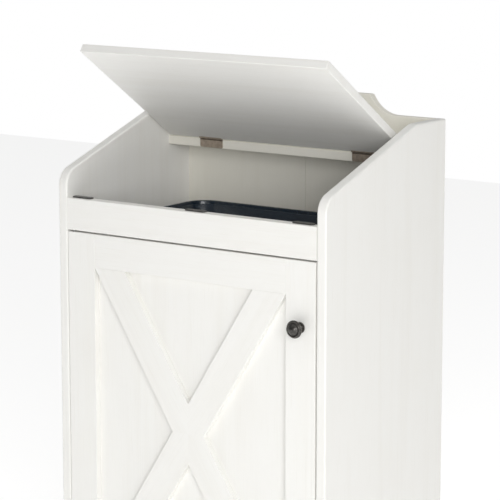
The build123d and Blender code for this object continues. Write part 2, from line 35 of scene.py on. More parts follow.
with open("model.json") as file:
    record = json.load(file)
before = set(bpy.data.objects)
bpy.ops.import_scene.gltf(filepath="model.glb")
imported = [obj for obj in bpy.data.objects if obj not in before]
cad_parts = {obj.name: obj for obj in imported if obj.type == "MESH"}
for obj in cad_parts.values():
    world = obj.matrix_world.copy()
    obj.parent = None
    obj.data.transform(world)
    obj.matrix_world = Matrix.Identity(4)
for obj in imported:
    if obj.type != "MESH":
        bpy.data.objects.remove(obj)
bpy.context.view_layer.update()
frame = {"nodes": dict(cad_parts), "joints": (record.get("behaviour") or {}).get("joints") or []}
nodes = frame["nodes"]
mm = 0.001
print("frame loaded,", len(nodes), "nodes")


# shader helpers
class Link:
    # a shader socket that can stand in an expression; each operator adds its Math node
    def __init__(self, paint, socket):
        self.paint = paint
        self.socket = socket

    def maths(self, operation, *values, clamp=False):
        settings = {"operation": operation, "use_clamp": clamp}
        return self.paint.node("ShaderNodeMath", settings, dict(enumerate(values)))

    def __add__(self, other):
        return self.maths("ADD", self, other)

    def __radd__(self, other):
        return self.maths("ADD", other, self)

    def __sub__(self, other):
        return self.maths("SUBTRACT", self, other)

    def __rsub__(self, other):
        return self.maths("SUBTRACT", other, self)

    def __mul__(self, other):
        return self.maths("MULTIPLY", self, other)

    def __pow__(self, other):
        return self.maths("POWER", self, other)

    def __abs__(self):
        return self.maths("ABSOLUTE", self)

    def sign(self):
        return self.maths("SIGN", self)

    def clamped(self):
        return self.maths("ADD", self, 0.0, clamp=True)

    def between(self, low, high):
        # 0 below low, 1 above high, smooth in between
        settings = {"interpolation_type": "SMOOTHSTEP"}
        sockets = {"Value": self, "From Min": low, "From Max": high}
        return self.paint.node("ShaderNodeMapRange", settings, sockets)


class Paint:
    # one material: a Principled shader, with constants set on its own sockets
    def __init__(self, name, **constants):
        self.material = bpy.data.materials.new(name)
        self.material.use_nodes = True
        self.tree = self.material.node_tree
        self.tree.nodes.clear()
        output = self.tree.nodes.new("ShaderNodeOutputMaterial")
        self.shader = self.tree.nodes.new("ShaderNodeBsdfPrincipled")
        self.tree.links.new(self.shader.outputs[0], output.inputs[0])
        for socketName, value in constants.items():
            self.shader.inputs[socketName.replace("_", " ")].default_value = value

    def node(self, kind, settings=None, sockets=None, output=0):
        made = self.tree.nodes.new(kind)
        for key, value in (settings or {}).items():
            setattr(made, key, value)
        for key, value in (sockets or {}).items():
            if isinstance(value, Link):
                self.tree.links.new(value.socket, made.inputs[key])
            else:
                made.inputs[key].default_value = value
        return Link(self, made.outputs[output])

    def feed(self, **links):
        for socketName, link in links.items():
            self.tree.links.new(link.socket, self.shader.inputs[socketName.replace("_", " ")])

    def place(self):
        # metres in the cabinet's frame, because every mesh is stored there
        return self.node("ShaderNodeTexCoord", output="Object")

    def axes(self, vector):
        made = self.tree.nodes.new("ShaderNodeSeparateXYZ")
        self.tree.links.new(vector.socket, made.inputs[0])
        return [Link(self, socket) for socket in made.outputs]

    def vector(self, x, y, z):
        return self.node("ShaderNodeCombineXYZ", None, {0: x, 1: y, 2: z})

    def stretched(self, vector, scale, offset=(0, 0, 0)):
        settings = {"operation": "MULTIPLY_ADD"}
        return self.node("ShaderNodeVectorMath", settings, {0: vector, 1: scale, 2: offset})

    def noise(self, vector, scale=1.0, detail=2.0, rough=0.5, warp=0.0):
        sockets = {
            "Vector": vector, "Scale": scale, "Detail": detail,
            "Roughness": rough, "Distortion": warp,
        }
        return self.node("ShaderNodeTexNoise", None, sockets)

    def mix(self, share, first, second):
        # colours only: sockets 0 the share, 6 and 7 the two colours
        first, second = [v if isinstance(v, Link) else (*v, 1.0) for v in (first, second)]
        sockets = {0: share, 6: first, 7: second}
        return self.node("ShaderNodeMix", {"data_type": "RGBA"}, sockets, output=2)

    def bump(self, height, distance, strength=1.0):
        self.feed(Normal=self.node(
            "ShaderNodeBump", None, {"Height": height, "Distance": distance, "Strength": strength}
        ))


# finishes
washedBoard = {
    "paint": (0.855, 0.848, 0.818),     # the white coat
    "streak": (0.74, 0.715, 0.655),     # where the grain shows through it
    "knotWash": (0.80, 0.777, 0.715),
    "cream": (1.0, 0.985, 0.925),       # what the rear boards are tinted by
    "streakPitch": 1.3,                 # across the grain
    "streakLength": 55,
    "bandPitch": 19,
    "bandLength": 420,
    "porePitch": 0.55,
    "poreLength": 11,
    "cloudScale": 9.0,
    "poreDepth": 0.05,
    "brushDepth": 0.035,
    "bandDepth": 0.05,
    "fineShare": 0.30,                  # how far each layer goes towards the streak colour
    "bandShare": 0.17,
    "cloudShare": 0.12,
    "poreShare": 0.16,
}


def washed(name, grain, seed, frameOf=None, tint=(1, 1, 1)):
    # white-washed board with its grain along the unit vector grain
    size = washedBoard
    paint = Paint(name, Specular_IOR_Level=0.35, Coat_Roughness=0.35, Coat_Weight=0.12)
    spot = frameOf(paint) if frameOf else paint.place()
    shift = (seed * 1.37, seed * 2.11, seed * 0.73)
    coat, streak, knot = (
        [part * share for part, share in zip(size[tone], tint)]
        for tone in ("paint", "streak", "knotWash")
    )

    def along(pitch, length):
        # noise cells that are pitch wide and length long
        scale = [1 / (length * mm) if abs(part) > 0.5 else 1 / (pitch * mm) for part in grain]
        return paint.stretched(spot, scale, shift)

    fine = paint.noise(along(size["streakPitch"], size["streakLength"]), detail=5, rough=0.62)
    broad = paint.noise(along(size["bandPitch"], size["bandLength"]), detail=3, warp=0.6)
    pores = paint.noise(along(size["porePitch"], size["poreLength"]), detail=1)
    pores = pores.between(0.66, 0.80)
    cloudy = paint.noise(spot, scale=size["cloudScale"], detail=3)
    showing = fine.between(0.50, 0.80) * size["fineShare"]
    showing = (showing + broad.between(0.44, 0.76) * size["bandShare"]).clamped()
    colour = paint.mix(showing, coat, streak)
    colour = paint.mix(cloudy.between(0.45, 0.75) * size["cloudShare"], colour, knot)
    colour = paint.mix(pores * size["poreShare"], colour, streak)
    paint.feed(Base_Color=colour, Roughness=0.50 + fine * 0.14 + pores * 0.08)
    height = fine * size["brushDepth"] + broad * size["bandDepth"] - pores * size["poreDepth"]
    paint.bump(height, 1.0 * mm, 0.8)
    return paint.material


alongX, alongY, alongZ = (1, 0, 0), (0, 1, 0), (0, 0, 1)
pinSpot = Vector(next(
    joint["pos_m"] for joint in frame["joints"] if joint["name"] == "lid_hinge"
))


def darkEnamel():
    # near-black antique metal, rubbed a little brighter on the raised rings
    paint = Paint(
        "blackIron", Specular_IOR_Level=0.5, Coat_Roughness=0.22, Coat_Weight=0.35, Metallic=0.9,
    )
    spot = paint.place()
    speckle = paint.noise(spot, scale=2600, detail=3, rough=0.7)
    cloud = paint.noise(spot, scale=260, detail=4, rough=0.6)
    rubbed = paint.node("ShaderNodeNewGeometry", output="Pointiness").between(0.50, 0.56)
    colour = paint.mix(cloud.between(0.35, 0.7), (0.045, 0.043, 0.040), (0.085, 0.080, 0.072))
    colour = paint.mix(rubbed * 0.5, colour, (0.20, 0.185, 0.165))
    paint.feed(Base_Color=colour, Roughness=0.27 + cloud * 0.14 + speckle * 0.06)
    paint.bump(speckle, 0.12 * mm, 0.5)
    return paint.material


def antiqueBronze():
    # brown plated steel: satin, with brushed streaks along the leaf and darker blotches
    paint = Paint("antiqueBronze", Metallic=0.85, Specular_IOR_Level=0.5)
    spot = paint.place()
    brushed = paint.noise(paint.stretched(spot, (160, 5200, 5200)), detail=3, rough=0.6)
    cloud = paint.noise(spot, scale=210, detail=4, rough=0.6)
    colour = paint.mix(cloud.between(0.32, 0.72), (0.50, 0.42, 0.345), (0.36, 0.295, 0.24))
    colour = paint.mix(brushed.between(0.45, 0.8) * 0.5, colour, (0.66, 0.58, 0.48))
    x, y, z = paint.axes(spot)
    outward = ((y - pinSpot.y) ** 2 + (z - pinSpot.z) ** 2) ** 0.5
    # painted shade in the corner between barrel and leaf, where the barrel's shadow falls, by
    # distance from the pin
    corner = outward.between(2.7 * mm, 3.0 * mm) * (1 - outward.between(3.6 * mm, 5.0 * mm))
    # the corner mask darkens the colour towards near-black here: painted shade, not a real stain
    colour = paint.mix(corner * 0.75, colour, (0.06, 0.045, 0.035))
    paint.feed(Base_Color=colour, Roughness=0.34 + brushed * 0.16 + cloud * 0.08 + corner * 0.2)
    paint.bump(brushed, 0.06 * mm, 0.4)
    return paint.material


def brightMetal(name, tone, rough, pitch):
    # plated steel and cast zinc
    paint = Paint(name, Metallic=0.95)
    spot = paint.place()
    grit = paint.noise(spot, scale=1 / (pitch * mm), detail=4, rough=0.6)
    cloud = paint.noise(spot, scale=120, detail=3)
    dark = [part * 0.72 for part in tone]
    paint.feed(
        Base_Color=paint.mix(cloud.between(0.35, 0.75), tone, dark),
        Roughness=rough + grit * 0.18,
    )
    paint.bump(grit, 0.08 * mm, 0.5)
    return paint.material


def navyPlastic():
    # moulded polypropylene: glossy, faint flow marks down the walls, fine dust and scuffs
    paint = Paint("navyPlastic", Specular_IOR_Level=0.5, Coat_Weight=0.25, Coat_Roughness=0.12)
    spot = paint.place()
    flow = paint.noise(paint.stretched(spot, (70, 70, 2.5)), detail=3)
    pebble = paint.noise(spot, scale=1500, detail=2)
    scuff = paint.noise(paint.stretched(spot, (900, 900, 45)), detail=2).between(0.68, 0.80)
    colour = paint.mix(flow, (0.0040, 0.0125, 0.0245), (0.0075, 0.0200, 0.0350))
    colour = paint.mix(scuff * 0.18, colour, (0.10, 0.12, 0.14))
    paint.feed(Base_Color=colour, Roughness=0.20 + flow * 0.10 + scuff * 0.15)
    paint.bump(pebble * 0.6 + flow * 0.4, 0.10 * mm, 0.35)
    return paint.material


def softRubber():
    paint = Paint("padRubber", Specular_IOR_Level=0.6, Coat_Weight=0.3, Coat_Roughness=0.3)
    spot = paint.place()
    grit = paint.noise(spot, scale=1700, detail=4, rough=0.65)
    cloud = paint.noise(spot, scale=130, detail=3)
    colour = paint.mix(cloud, (0.030, 0.029, 0.027), (0.058, 0.056, 0.052))
    paint.feed(Base_Color=colour, Roughness=0.34 + grit * 0.2)
    paint.bump(grit, 0.15 * mm, 0.5)
    return paint.material


def mouldedPlastic(name, tone, shade, rough):
    paint = Paint(name, Specular_IOR_Level=0.45)
    spot = paint.place()
    pebble = paint.noise(spot, scale=1900, detail=3)
    cloud = paint.noise(spot, scale=90, detail=2)
    paint.feed(Base_Color=paint.mix(cloud, tone, shade), Roughness=rough + pebble * 0.12)
    paint.bump(pebble, 0.1 * mm, 0.4)
    return paint.material


def rawBeech():
    paint = Paint("rawBeech", Specular_IOR_Level=0.3)
    spot = paint.place()
    fibre = paint.noise(paint.stretched(spot, (45, 1600, 1600)), detail=4, rough=0.6)
    fleck = paint.noise(paint.stretched(spot, (260, 2600, 2600)), detail=1).between(0.62, 0.75)
    colour = paint.mix(fibre, (0.56, 0.37, 0.21), (0.70, 0.50, 0.31))
    colour = paint.mix(fleck * 0.6, colour, (0.36, 0.21, 0.11))
    paint.feed(Base_Color=colour, Roughness=0.62 + fibre * 0.15)
    paint.bump(fibre - fleck * 0.5, 0.15 * mm, 0.6)
    return paint.material


ironFinish = darkEnamel()
bronzeFinish = antiqueBronze()
steelFinish = brightMetal("platedSteel", (0.62, 0.62, 0.60), 0.22, 0.5)
zincFinish = brightMetal("castZinc", (0.52, 0.53, 0.54), 0.38, 0.8)
navyFinish = navyPlastic()
rubberFinish = softRubber()
nylonFinish = mouldedPlastic("whiteNylon", (0.80, 0.80, 0.77), (0.74, 0.74, 0.70), 0.38)
glideFinish = mouldedPlastic("glidePlastic", (0.70, 0.69, 0.65), (0.60, 0.59, 0.55), 0.42)
ferriteFinish = mouldedPlastic("ferrite", (0.035, 0.035, 0.038), (0.055, 0.055, 0.058), 0.55)
beechFinish = rawBeech()
print("finishes made")


# mesh helpers
def keepPiece(name, mesh, finish, body, replaced=(), edge=0.0):
    # edge is the width that the sharp edges are broken by
    for polygon in mesh.polygons:
        polygon.use_smooth = True
    mesh.materials.append(finish)
    piece = bpy.data.objects.new(name, mesh)
    bpy.context.scene.collection.objects.link(piece)
    if edge:
        bevel = piece.modifiers.new("brokenEdges", "BEVEL")
        bevel.width = edge * mm
        bevel.segments = 3
        bevel.limit_method = "ANGLE"
        bevel.angle_limit = radians(32)
        bevel.harden_normals = True
        piece.modifiers.new("flatFaces", "WEIGHTED_NORMAL").keep_sharp = True
    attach(piece, body)
    if replaced:
        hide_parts(*replaced)
    return piece


def toMesh(form, name):
    bmesh.ops.recalc_face_normals(form, faces=form.faces)
    mesh = bpy.data.meshes.new(name)
    form.to_mesh(mesh)
    form.free()
    return mesh


def addSlab(form, outline, low, high, place=Matrix.Identity(4)):
    # a flat plate cut to an outline of (x, y) points, from z low to z high, in its own place
    rings = [[form.verts.new(place @ Vector((x, y, z))) for x, y in outline] for z in (low, high)]
    form.faces.new(list(reversed(rings[0])))
    form.faces.new(rings[1])
    count = len(outline)
    for i in range(count):
        j = (i + 1) % count
        form.faces.new((rings[0][i], rings[0][j], rings[1][j], rings[1][i]))


def addTurned(form, profile, place, steps):
    # (radius, height) points spun round the local z; a radius of 0 closes the end
    rings = []
    for radius, height in profile:
        if radius == 0:
            rings.append([form.verts.new(place @ Vector((0, 0, height)))])
            continue
        turns = [2 * pi * i / steps for i in range(steps)]
        spots = [Vector((radius * cos(t), radius * sin(t), height)) for t in turns]
        rings.append([form.verts.new(place @ spot) for spot in spots])
    for near, far in zip(rings, rings[1:]):
        for i in range(steps):
            j = (i + 1) % steps
            if len(near) == 1:
                form.faces.new((near[0], far[j], far[i]))
            elif len(far) == 1:
                form.faces.new((near[i], near[j], far[0]))
            else:
                form.faces.new((near[i], near[j], far[j], far[i]))


def arc(middle, radius, start, end, count):
    # points of an arc from start to end, in degrees
    turns = [radians(start + (end - start) * i / count) for i in range(count + 1)]
    return [(middle[0] + radius * cos(t), middle[1] + radius * sin(t)) for t in turns]


def roundedPlate(halfWidth, low, high, radii, count=6):
    # outline with its own radius at each corner: low left, low right, high right, high left
    corners = (
        (-halfWidth, low, 1, 1, 180), (halfWidth, low, -1, 1, 270),
        (halfWidth, high, -1, -1, 0), (-halfWidth, high, 1, -1, 90),
    )
    points = []
    for (x, y, inX, inY, start), radius in zip(corners, radii):
        points += arc((x + inX * radius, y + inY * radius), radius, start, start + 90, count)
    return points


def scaled(points):
    return [(x * mm, y * mm) for x, y in points]


def facing(spot, outward, across=(1, 0, 0)):
    # local z along outward, local x along across
    up = Vector(outward).normalized()
    side = Vector(across).normalized()
    turn = Matrix((side, up.cross(side), up)).transposed().to_4x4()
    return Matrix.Translation(spot) @ turn


# carcass boards
boards = {
    "left_side_panel": (alongZ, 1.0),
    "right_side_panel": (alongZ, 2.0),
    "front_top_rail": (alongX, 3.0),
    "kick_board": (alongX, 4.0),
    "bottom_board": (alongX, 5.0),
    "rear_shelf": (alongX, 6.0),
    "backsplash": (alongX, 7.0),
    "back_board_left": (alongZ, 8.0),
    "back_board_right": (alongZ, 9.0),
    "lid_board": (alongX, 10.0),
    "door_back_sheet": (alongZ, 11.0),
}


def finishNode(name, finish):
    for slotHeld in nodes[name].material_slots:
        slotHeld.material = finish
    if not nodes[name].material_slots:
        nodes[name].data.materials.append(finish)


rearBoards = ("back_board_left", "back_board_right", "backsplash", "rear_shelf")
for name, (grain, seed) in boards.items():
    words = name.split("_")
    label = words[0] + "".join(word.capitalize() for word in words[1:]) + "Wash"
    tint = washedBoard["cream"] if name in rearBoards else (1, 1, 1)
    finishNode(name, washed(label, grain, seed, tint=tint))
for name, finish in {
    "dowels": beechFinish, "cam_bolts": zincFinish, "cam_locks": zincFinish,
    "door_pivot_pin_top": steelFinish, "door_pivot_pin_bottom": steelFinish,
    "door_bushing_top": nylonFinish, "door_bushing_bottom": nylonFinish, "knob_screw": steelFinish,
    "catch_housing": nylonFinish, "catch_magnet": ferriteFinish, "catch_screws": steelFinish,
    "strike_plate": steelFinish, "strike_screw": steelFinish,
}.items():
    finishNode(name, finish)
print("boards finished")

# door front
door = {
    "edge": 0.45,           # broken edges of stiles, rails and braces
    "braceWidth": 45.0,
}


def frontSlab(name, outline, front, back, finish, replaced):
    # a member of the door's front, with its outline in x and z
    form = bmesh.new()
    addSlab(form, outline, front - back, 0.0, facing((0, front, 0), (0, -1, 0)))
    keepPiece(name, toMesh(form, name), finish, "door", replaced, door["edge"])


for node, name, grain, seed in (
    ("door_stile_left", "doorStileLeft", alongZ, 12.0),
    ("door_stile_right", "doorStileRight", alongZ, 13.0),
    ("door_rail_top", "doorRailTop", alongX, 14.0),
    ("door_rail_bottom", "doorRailBottom", alongX, 15.0),
):
    low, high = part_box(node)
    outline = [(low.x, low.z), (high.x, low.z), (high.x, high.z), (low.x, high.z)]
    frontSlab(name, outline, low.y, high.y, washed(name + "Wash", grain, seed), [node])

# the two crossing braces are one flush face, each arm with its own grain
stileLow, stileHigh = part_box("door_stile_right")
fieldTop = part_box("door_rail_top")[0].z
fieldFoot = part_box("door_rail_bottom")[1].z
halfAcross = stileLow.x
middleZ = (fieldTop + fieldFoot) / 2
halfUp = (fieldTop - fieldFoot) / 2
lean = atan2(halfAcross, halfUp) - asin(door["braceWidth"] * mm / 2 / hypot(halfAcross, halfUp))
reach = door["braceWidth"] * mm / cos(lean)      # brace's width along the rails
notch = halfUp - 2 * halfUp * (halfAcross - reach) / (2 * halfAcross - reach)
quarter = [(halfAcross, halfUp), (halfAcross - reach, halfUp), (0.0, notch)]
crossOutline = quarter + [(-x, z) for x, z in reversed(quarter[:2])] + [(-reach / 2, 0.0)]
crossOutline += [(-x, -z) for x, z in quarter] + [(x, -z) for x, z in reversed(quarter[:2])]
crossOutline += [(reach / 2, 0.0)]
crossOutline = [(x, z + middleZ) for x, z in reversed(crossOutline)]


def armPlace(paint):
    # the four arms fold onto one, so that the grain runs along each
    x, y, z = paint.axes(paint.place())
    rise = z - middleZ
    foldedX = abs(x)
    foldedZ = abs(rise)
    phase = x.sign() * 0.31 + rise.sign() * 0.73       # each arm gets its own grain
    down = foldedX * sin(lean) + foldedZ * cos(lean)
    across = foldedX * cos(lean) - foldedZ * sin(lean)
    return paint.vector(across + phase, y, down)


crossFinish = washed("doorCrossWash", alongZ, 16.0, frameOf=armPlace)
frontSlab(
    "doorCross", crossOutline, stileLow.y, stileHigh.y, crossFinish,
    ["door_brace_long", "door_brace_upper", "door_brace_lower"],
)
print("door front made")

# knob and rosette
knob = {
    "neckRadius": 4.1,
    "footRadius": 5.7,
    "beadRadius": 5.2,
    "beadHeight": 6.4,
    "backRing": 12.1,
    "frontRing": 10.8,
    "domeRadius": 8.4,
    "domeRise": 4.9,
    "pipRadius": 1.5,
    "pipRise": 0.35,
    "headDepth": 8.6,        # from the head's back edge to the pip
    "groove": (5.1, 5.9),    # radii between which the dome is cut
    "grooveDepth": 0.16,
    "rosetteGroove": 5.4,
    "rosetteRim": 0.5,       # rosette's rim stands below its middle
    "steps": 96,
}
knobLow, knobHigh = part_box("knob")
roseLow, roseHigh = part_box("knob_rosette")
doorFace = roseHigh.y
knobAxis = facing(
    ((knobLow.x + knobHigh.x) / 2, doorFace, (knobLow.z + knobHigh.z) / 2), (0, -1, 0)
)
projection = (doorFace - knobLow.y) / mm
roseThick = (roseHigh.y - roseLow.y) / mm
roseRadius = (roseHigh.x - roseLow.x) / 2 / mm


def knobProfile():
    size = knob
    head = projection - size["headDepth"]
    top = projection - size["pipRise"]
    neck = size["neckRadius"]
    points = [(0, roseThick), (size["footRadius"], roseThick)]
    points += [(size["footRadius"], roseThick + 0.5)]
    points += arc((neck + 1.7, roseThick + 2.4), 1.7, 270, 180, 5)
    points += arc((neck + 0.1, size["beadHeight"]), size["beadRadius"] - neck, -75, 75, 8)
    points += arc((neck + 4.4, head - 4.2), 4.4, 180, 90, 8)
    ring = 0.8
    points += arc((size["backRing"] - ring, head + 0.9), ring, -90, 90, 8)
    points += [(size["frontRing"] - 0.1, head + 1.9)]
    points += arc((size["frontRing"] - 1.1, head + 3.2), 1.1, -40, 135, 10)
    points += [(size["domeRadius"] + 0.25, head + 3.1), (size["domeRadius"], head + 3.3)]
    rise = size["domeRise"]
    ball = (size["domeRadius"] ** 2 + rise ** 2) / (2 * rise)
    middle = top - ball
    start = degrees(atan2(top - rise - middle, size["domeRadius"]))
    for radius, height in arc((0, middle), ball, start, 90, 26)[:-1]:
        if radius < size["pipRadius"] + 0.2:
            continue
        cut = size["grooveDepth"] if size["groove"][0] < radius < size["groove"][1] else 0.0
        points.append((radius, height - cut))
    points += [(size["pipRadius"], top - 0.06), (size["pipRadius"] * 0.85, top + 0.16)]
    points += [(size["pipRadius"] * 0.45, top + 0.31), (0, projection)]
    return points


form = bmesh.new()
addTurned(form, scaled(knobProfile()), knobAxis, knob["steps"])
keepPiece("knobHead", toMesh(form, "knobHead"), ironFinish, "door", ["knob"])

form = bmesh.new()
edgeRound = 0.8
grooveAt, rimTop = knob["rosetteGroove"], roseThick - knob["rosetteRim"]
profile = [(0, 0.02), (roseRadius - 0.15, 0.02), (roseRadius, 0.25)]
profile += arc((roseRadius - edgeRound, rimTop - edgeRound), edgeRound, 0, 80, 6)
profile += [(grooveAt + 0.5, rimTop)]
profile += arc((grooveAt, roseThick - 0.45), 0.4, -10, -170, 4)
profile += [(grooveAt - 0.6, roseThick - 0.05), (2.2, roseThick - 0.02), (2.2, 0.3), (0, 0.3)]
addTurned(form, scaled(profile), knobAxis, knob["steps"])
keepPiece(
    "knobRosette", toMesh(form, "knobRosette"), ironFinish, "door", ["knob_rosette"],
)
print("knob made")

# lid hinges
hinge = {
    "knuckles": 5,
    "knuckleGap": 0.3,
    "barrelRadius": 2.2,
    "leafThick": 1.0,
    "cornerRadius": 2.2,
    "screwPitch": 13.5,
    "screwHead": 2.6,
    "screwShank": 1.4,
    "screwLength": 11.5,
    "pinRadius": 0.98,
    "pinPlay": 0.06,
    "pinLift": 2.5,          # pin above the shelf
    "tabOverlap": 0.4,       # knuckle's tab into the leaf
    "tabEnd": 0.9,           # and how near it comes to the pin
    "lidLeafTop": 11.0,      # far edge of the moving leaf from the pin
    "threads": 9,
    "threadPitch": 0.85,
    "recessHalf": 0.36,      # half the width of the cross recess
    "recessDepth": 0.8,
    "edge": 0.18,
}
lidNormal = max(nodes["lid_board"].data.polygons, key=lambda face: face.area).normal.copy()
if lidNormal.z < 0:
    lidNormal.negate()
# from the lid's front to its rear, in its plane
lidRear = Vector((0, lidNormal.z, -lidNormal.y))
if lidRear.y < 0:
    lidRear.negate()


def addKnuckles(form, own, length, place):
    # place has its local x along the barrel
    size = hinge
    pitch = length / size["knuckles"]
    outer, inner, soft = size["barrelRadius"], size["pinRadius"] + size["pinPlay"], 0.15
    for i in range(own, size["knuckles"], 2):
        low = -length / 2 + i * pitch + size["knuckleGap"] / 2
        high = low + pitch - size["knuckleGap"]
        ring = [
            (inner, low), (outer - soft, low), (outer, low + soft), (outer, high - soft),
            (outer - soft, high), (inner, high), (inner, low),
        ]
        turn = place @ Matrix.Rotation(radians(90), 4, "Y")
        addTurned(form, scaled(ring), turn, 40)


def addLeaf(form, own, length, near, far, offset, place):
    # leaf between its near and far edges from the pin, with a tab to each of its knuckles
    size = hinge
    round2 = size["cornerRadius"]
    sharp = 0.05
    sign = 1 if far > near else -1
    radii = (sharp, sharp, round2, round2) if sign > 0 else (round2, round2, sharp, sharp)
    outline = roundedPlate(length / 2, min(near, far), max(near, far), radii)
    addSlab(form, scaled(outline), offset * mm, (offset + size["leafThick"]) * mm, place)
    pitch = length / size["knuckles"]
    for i in range(own, size["knuckles"], 2):
        low = -length / 2 + i * pitch + size["knuckleGap"] / 2
        high = low + pitch - size["knuckleGap"]
        tab = sorted((near + sign * size["tabOverlap"], sign * size["tabEnd"]))
        outline = [(low, tab[0]), (high, tab[0]), (high, tab[1]), (low, tab[1])]
        addSlab(form, scaled(outline), offset * mm, (offset + size["leafThick"]) * mm, place)


def addScrew(form, place):
    # countersunk screw with a flat head, a cross recess and a threaded shank
    size = hinge
    head, shank, reach = size["screwHead"], size["screwShank"], size["screwLength"]
    low = [(0, -reach), (shank * 0.5, -reach + 1.2)]
    for i in range(size["threads"]):
        height = -reach + 1.6 + i * size["threadPitch"]
        low += [(shank * 0.78, height), (shank, height + 0.35)]
    low += [(shank, -1.4), (head, -0.15), (head - 0.1, 0.0)]
    spin = 40
    addTurned(form, scaled(low), place, spin)
    arm, blade = head * 0.68, size["recessHalf"]
    star = []
    for turn in range(4):
        for x, y in ((arm, -blade), (arm, blade), (blade, blade)):
            c, d = (1, 0, -1, 0)[turn], (0, 1, 0, -1)[turn]
            star.append((c * x - d * y, d * x + c * y))
    form.verts.ensure_lookup_table()
    rim = form.verts[-spin:]
    top, foot = [
        [
            form.verts.new(place @ Vector((x * mm * wide, y * mm * wide, height * mm)))
            for x, y in star
        ]
        for height, wide in ((0.0, 1.0), (-size["recessDepth"], 0.62))
    ]
    # flat face between the rim and the star
    edges = [form.edges.get((rim[i], rim[(i + 1) % spin])) for i in range(spin)]
    corners = len(star)
    edges += [form.edges.new((top[i], top[(i + 1) % corners])) for i in range(corners)]
    bmesh.ops.triangle_fill(form, edges=edges, use_beauty=True)
    for i in range(corners):
        j = (i + 1) % corners
        form.faces.new((top[i], top[j], foot[j], foot[i]))
    form.faces.new(foot)


shelfScrews = bmesh.new()
lidScrews = bmesh.new()
for side, label in (("left", "Left"), ("right", "Right")):
    leafLow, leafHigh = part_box("shelf_hinge_" + side)
    middleX = (leafLow.x + leafHigh.x) / 2
    length = (leafHigh.x - leafLow.x) / mm
    spot = Vector((middleX, pinSpot.y, pinSpot.z))
    # fixed leaf on the shelf's front edge: local y up, local z forward
    fixed = facing(spot, (0, -1, 0))
    leafFoot = (leafLow.z - pinSpot.z) / mm
    leafBack = -hinge["barrelRadius"]
    nearEdge = hinge["barrelRadius"] + 0.3
    form = bmesh.new()
    addLeaf(form, 0, length, -nearEdge, leafFoot, leafBack, fixed)
    addKnuckles(form, 0, length, fixed)
    keepPiece(
        "shelfHinge" + label, toMesh(form, "shelfHinge" + label), bronzeFinish, "cabinet",
        ["shelf_hinge_" + side], hinge["edge"],
    )
    # moving leaf on the lid's rear edge: local y up the lid's thickness, local z rearward
    moving = facing(spot, lidRear, (-1, 0, 0))
    lidTop = hinge["lidLeafTop"]
    form = bmesh.new()
    addLeaf(form, 1, length, nearEdge, lidTop, hinge["barrelRadius"] - hinge["leafThick"], moving)
    addKnuckles(form, 1, length, moving)
    keepPiece(
        "lidHinge" + label, toMesh(form, "lidHinge" + label), bronzeFinish, "lid",
        ["lid_hinge_" + side], hinge["edge"],
    )
    form = bmesh.new()
    half = length / 2
    thick = hinge["pinRadius"]
    pinShape = [(0, -half), (thick * 0.7, -half + 0.1), (thick, -half + 0.5)]
    pinShape += [(thick, half - 0.5), (thick * 0.7, half - 0.1), (0, half)]
    addTurned(form, scaled(pinShape), fixed @ Matrix.Rotation(radians(90), 4, "Y"), 32)
    keepPiece(
        "hingePin" + label, toMesh(form, "hingePin" + label), bronzeFinish, "cabinet",
        ["lid_hinge_pin_" + side],
    )
    screwFixedY = (leafFoot - hinge["pinLift"]) / 2
    screwMovingY = (nearEdge + lidTop) / 2
    for i in (-1, 0, 1):
        shift = i * hinge["screwPitch"] * mm
        spin = Matrix.Rotation(radians(25 + 31 * (i + middleX * 7)), 4, "Z")
        seat = Vector((shift, screwFixedY * mm, (leafBack + hinge["leafThick"] - 0.05) * mm))
        addScrew(shelfScrews, fixed @ Matrix.Translation(seat) @ spin)
        seat = Vector((shift, screwMovingY * mm, (hinge["barrelRadius"] - 0.05) * mm))
        addScrew(lidScrews, moving @ Matrix.Translation(seat) @ spin)
keepPiece(
    "shelfHingeScrews", toMesh(shelfScrews, "shelfHingeScrews"), bronzeFinish, "cabinet",
    ["shelf_hinge_screws"],
)
keepPiece(
    "lidHingeScrews", toMesh(lidScrews, "lidHingeScrews"), bronzeFinish, "lid",
    ["lid_hinge_screws"],
)
print("hinges made")

# bumper pads
pad = {"corner": 3.0, "edge": 0.5}
for side, label in (("left", "Left"), ("centre", "Centre"), ("right", "Right")):
    low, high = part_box("bumper_pad_" + side)
    middle = (low + high) / 2
    halfLong, halfWide = (high.x - low.x) / 2 / mm, (high.y - low.y) / 2 / mm
    form = bmesh.new()
    outline = roundedPlate(halfLong, -halfWide, halfWide, [pad["corner"]] * 4)
    place = Matrix.Translation((middle.x, middle.y, 0))
    addSlab(form, scaled(outline), low.z, high.z, place)
    keepPiece(
        "bumperPad" + label, toMesh(form, "bumperPad" + label), rubberFinish, "cabinet",
        ["bumper_pad_" + side], pad["edge"],
    )

# glides
for side in ("front_left", "front_right", "rear_left", "rear_right"):
    low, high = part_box("glide_" + side)
    middle = (low + high) / 2
    radius, thick = (high.x - low.x) / 2 / mm, (high.z - low.z) / mm
    profile = [(0, thick), (radius - 0.2, thick), (radius, thick - 0.2), (radius, 1.1)]
    profile += arc((radius - 1.1, 1.1), 1.1, 0, -90, 5)
    profile += [(2.6, 0), (2.2, 0.5), (0, 0.7)]
    form = bmesh.new()
    addTurned(form, scaled(profile), Matrix.Translation((middle.x, middle.y, low.z)), 48)
    words = side.split("_")
    name = "glide" + words[0].capitalize() + words[1].capitalize()
    keepPiece(name, toMesh(form, name), glideFinish, "cabinet", ["glide_" + side])
print("pads and glides made")

